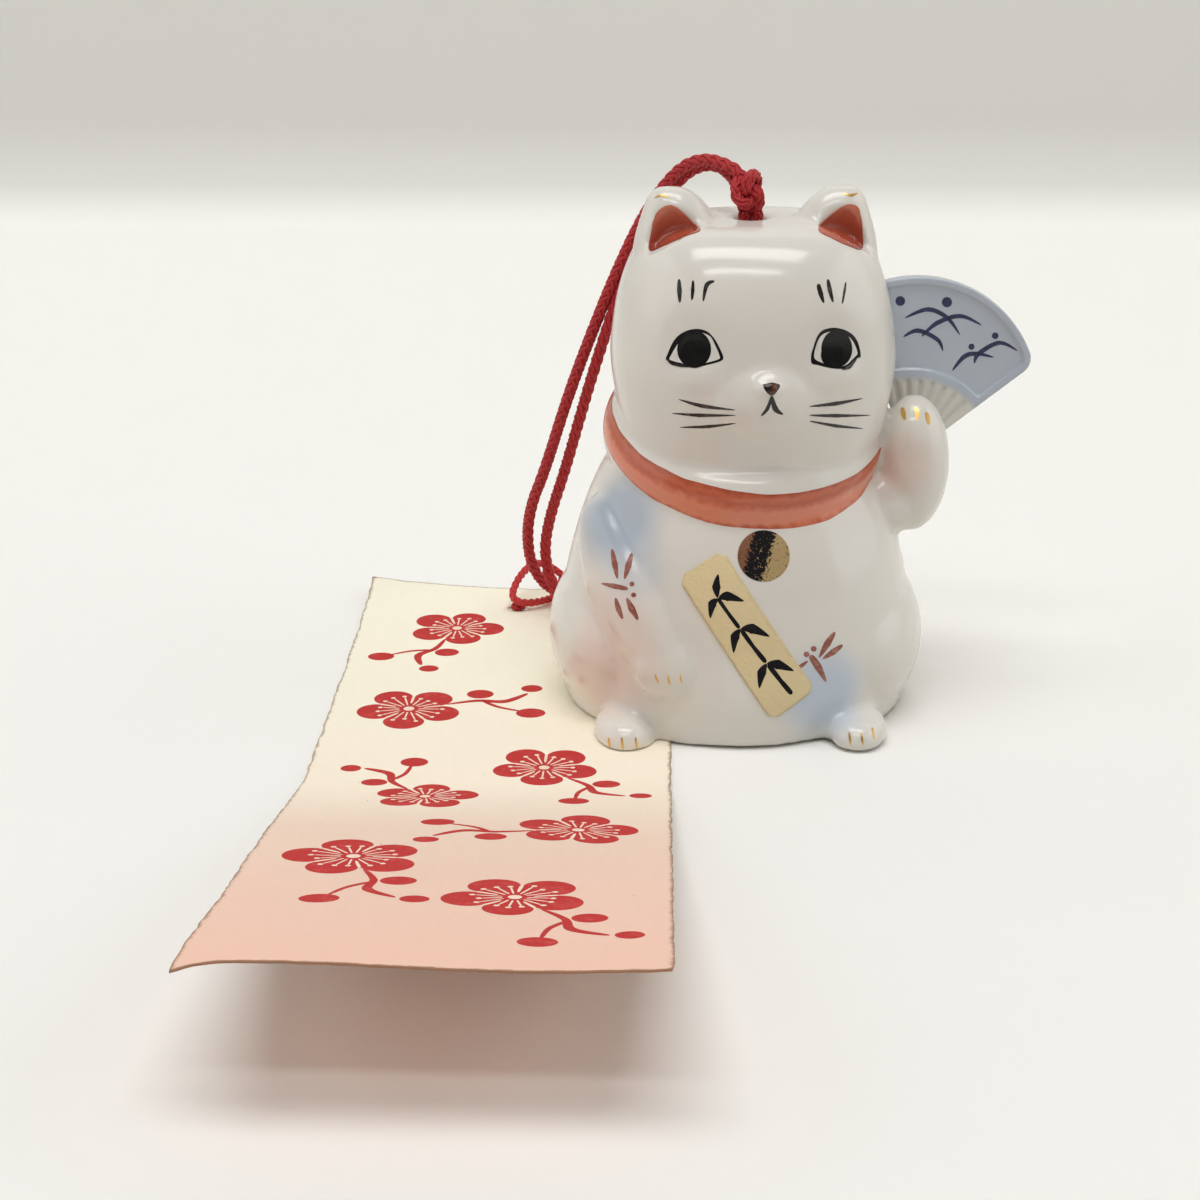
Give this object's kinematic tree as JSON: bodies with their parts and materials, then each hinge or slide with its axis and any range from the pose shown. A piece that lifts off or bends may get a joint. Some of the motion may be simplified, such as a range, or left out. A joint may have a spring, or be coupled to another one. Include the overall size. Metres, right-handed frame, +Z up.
{
  "type": "furin wind bell",
  "caption": "Hollow porcelain cat wind bell with a raised paw and fan, hung on a red cord, with a clapper inside and a paper strip on a string.",
  "frame": {"origin": "middle of the bell's open foot, in the plane of its foot rim", "axes": "+Z up through the crown, -Y the way the cat faces, +X to the raised paw's side"},
  "size_m": [0.1253, 0.2056, 0.0948],
  "materials": {
    "porcelain": "clear glaze over white porcelain, painted",
    "fan_glaze": "pale blue glaze",
    "label_paper": "matt cream paper",
    "cord": "crimson braid",
    "string": "red twisted string",
    "clapper_clay": "unglazed bisque",
    "strip_paper": "matt textured paper, shaded to pink"
  },
  "bodies": {
    "bell": {"cat_bell": "porcelain", "raised_arm": "porcelain", "fan": "fan_glaze", "paper_label": "label_paper", "hanging_cord": "cord", "crown_knot": "cord", "cord_neck": "cord", "inner_knot": "cord", "strip_string": "string", "loop_knot": "string", "strip_loop": "string"},
    "hitch": {"string_hitch": "string"},
    "clapper": {"clapper_string": "string", "clapper": "clapper_clay", "clapper_knot": "string", "clapper_tail": "string"},
    "strip_tie": {"strip_knot": "string"},
    "strip": {"paper_strip": "strip_paper"}
  },
  "joints": [
    {"name": "clapper_spin", "type": "hinge", "parent": "bell", "child": "hitch", "pos_m": [0.0014, 0, 0.0729], "axis": [0, 0, 1], "continuous": true},
    {"name": "clapper_swing", "type": "hinge", "parent": "hitch", "child": "clapper", "pos_m": [0.0014, 0, 0.07045], "axis": [1, 0, 0], "range_deg": [-19.4, 19.4], "deforming": ["clapper_tail"]},
    {"name": "strip_pull", "type": "slide", "parent": "bell", "child": "strip_tie", "axis": [-0.0262, -0.9997, 0], "range_m": [0, 0.01], "deforming": ["strip_loop"]},
    {"name": "strip_turn", "type": "hinge", "parent": "strip_tie", "child": "strip", "pos_m": [-0.04, 0.0434, 0], "axis": [0, 0, 1], "range_deg": [-45, 12]}
  ]
}
